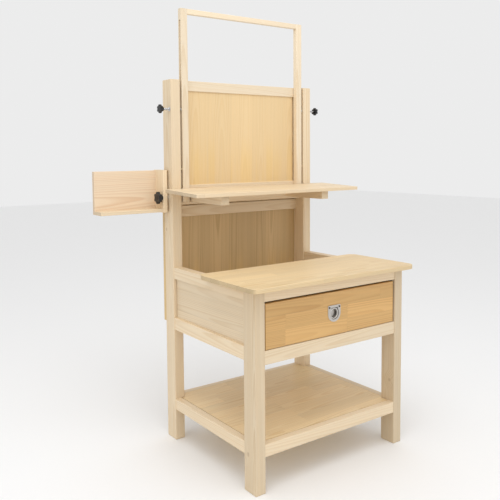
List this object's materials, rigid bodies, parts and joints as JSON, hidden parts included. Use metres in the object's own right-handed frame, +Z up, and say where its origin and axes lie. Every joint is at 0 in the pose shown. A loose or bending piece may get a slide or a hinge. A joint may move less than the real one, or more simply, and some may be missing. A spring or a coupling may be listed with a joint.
{
  "type": "easel workstation",
  "caption": "Floor-standing wooden easel workstation with a flat worktop, drawer, shelf, rear bin, tray, sliding canvas hoop held by star knobs and a tilting side box.",
  "frame": {"origin": "on the floor, under the middle of the whole object's bounding box", "axes": "+X to the right seen from the drawer's side, +Y from the drawer towards the mast, +Z up"},
  "size_m": [0.99, 0.635, 1.573],
  "materials": {
    "pine": "satin",
    "pine_top": "satin",
    "pine_panel": "satin",
    "pine_drawer_front": "satin",
    "pine_back": "satin",
    "bright_steel": "bright zinc",
    "satin_nickel": "satin",
    "dark_steel": "blackened",
    "black_plastic": "matte",
    "pad_plastic": "matte"
  },
  "bodies": {
    "frame": {"back_boards": "pine_back", "bin_floor": "pine", "bin_front": "pine", "drawer_rail_back": "pine", "drawer_rail_front": "pine", "drawer_rail_left": "pine", "drawer_rail_right": "pine", "drawer_runners": "pine", "frame_dowels": "pine", "leg_front_left": "pine", "leg_front_right": "pine", "mast_panel": "pine_panel", "mast_rail_back": "pine", "mast_rail_low": "pine", "mast_rail_top": "pine", "mast_stile_left": "pine", "mast_stile_right": "pine", "post_inserts": "bright_steel", "post_left": "pine", "post_right": "pine", "shelf_board": "pine", "shelf_rail_back": "pine", "shelf_rail_front": "pine", "shelf_rail_left": "pine", "shelf_rail_right": "pine", "side_panel_left": "pine", "side_panel_right": "pine", "support_cleats": "pine", "tabletop": "pine_top", "top_rail_front": "pine", "top_rail_left": "pine", "top_rail_right": "pine", "tray": "pine_top", "tray_arm_left": "pine", "tray_arm_right": "pine", "tray_arm_screws": "bright_steel"},
    "drawer": {"drawer_front": "pine_drawer_front", "drawer_side_left": "pine", "drawer_side_right": "pine", "drawer_back": "pine", "drawer_floor": "pine", "pull_plate": "satin_nickel", "pull_screws": "dark_steel", "pull_pin": "satin_nickel"},
    "pull_ring": {"pull_ring": "satin_nickel"},
    "hoop": {"hoop_stile_left": "pine", "hoop_stile_right": "pine", "hoop_bar": "pine"},
    "clamp_left_tip": {"clamp_pad_left": "pad_plastic"},
    "clamp_left": {"clamp_knob_left": "black_plastic", "clamp_stud_left": "bright_steel"},
    "clamp_right_tip": {"clamp_pad_right": "pad_plastic"},
    "clamp_right": {"clamp_knob_right": "black_plastic", "clamp_stud_right": "bright_steel"},
    "side_box": {"side_box_end": "pine", "side_box_back": "pine", "side_box_ledge": "pine"},
    "side_box_washer": {"side_box_washer": "bright_steel"},
    "side_box_knob": {"side_box_knob": "black_plastic", "side_box_stud": "bright_steel"}
  },
  "joints": [
    {"name": "drawer_slide", "type": "slide", "parent": "frame", "child": "drawer", "axis": [0, -1, 0], "range_m": [0, 0.3]},
    {"name": "pull_ring_swing", "type": "hinge", "parent": "drawer", "child": "pull_ring", "pos_m": [0.099, -0.2613, 0.5399], "axis": [-1, 0, 0], "range_deg": [0, 90]},
    {"name": "hoop_slide", "type": "slide", "parent": "frame", "child": "hoop", "axis": [0, 0, 1], "range_m": [-0.25, 0.1]},
    {"name": "clamp_left_travel", "type": "slide", "parent": "frame", "child": "clamp_left_tip", "axis": [-1, 0, 0], "range_m": [0, 0.00375]},
    {"name": "clamp_left_turn", "type": "hinge", "parent": "clamp_left_tip", "child": "clamp_left", "pos_m": [-0.231, 0.2345, 1.214], "axis": [-1, 0, 0], "range_deg": [0, 1080]},
    {"name": "clamp_right_travel", "type": "slide", "parent": "frame", "child": "clamp_right_tip", "axis": [1, 0, 0], "range_m": [0, 0.00375]},
    {"name": "clamp_right_turn", "type": "hinge", "parent": "clamp_right_tip", "child": "clamp_right", "pos_m": [0.429, 0.2345, 1.226], "axis": [1, 0, 0], "range_deg": [0, 1080]},
    {"name": "side_box_tilt", "type": "hinge", "parent": "frame", "child": "side_box", "pos_m": [-0.246, 0.2545, 0.897], "axis": [1, 0, 0], "range_deg": [-80, 30]},
    {"name": "side_box_knob_travel", "type": "slide", "parent": "frame", "child": "side_box_washer", "axis": [-1, 0, 0], "range_m": [0, 0.00375]},
    {"name": "side_box_knob_turn", "type": "hinge", "parent": "side_box_washer", "child": "side_box_knob", "pos_m": [-0.263, 0.2545, 0.897], "axis": [-1, 0, 0], "range_deg": [0, 1080]}
  ],
  "couplings": [
    {"joint": "clamp_left_turn", "follows": "clamp_left_travel", "rad_per_m": 5026.5},
    {"joint": "clamp_right_turn", "follows": "clamp_right_travel", "rad_per_m": 5026.5},
    {"joint": "side_box_knob_turn", "follows": "side_box_knob_travel", "rad_per_m": 5026.5}
  ]
}
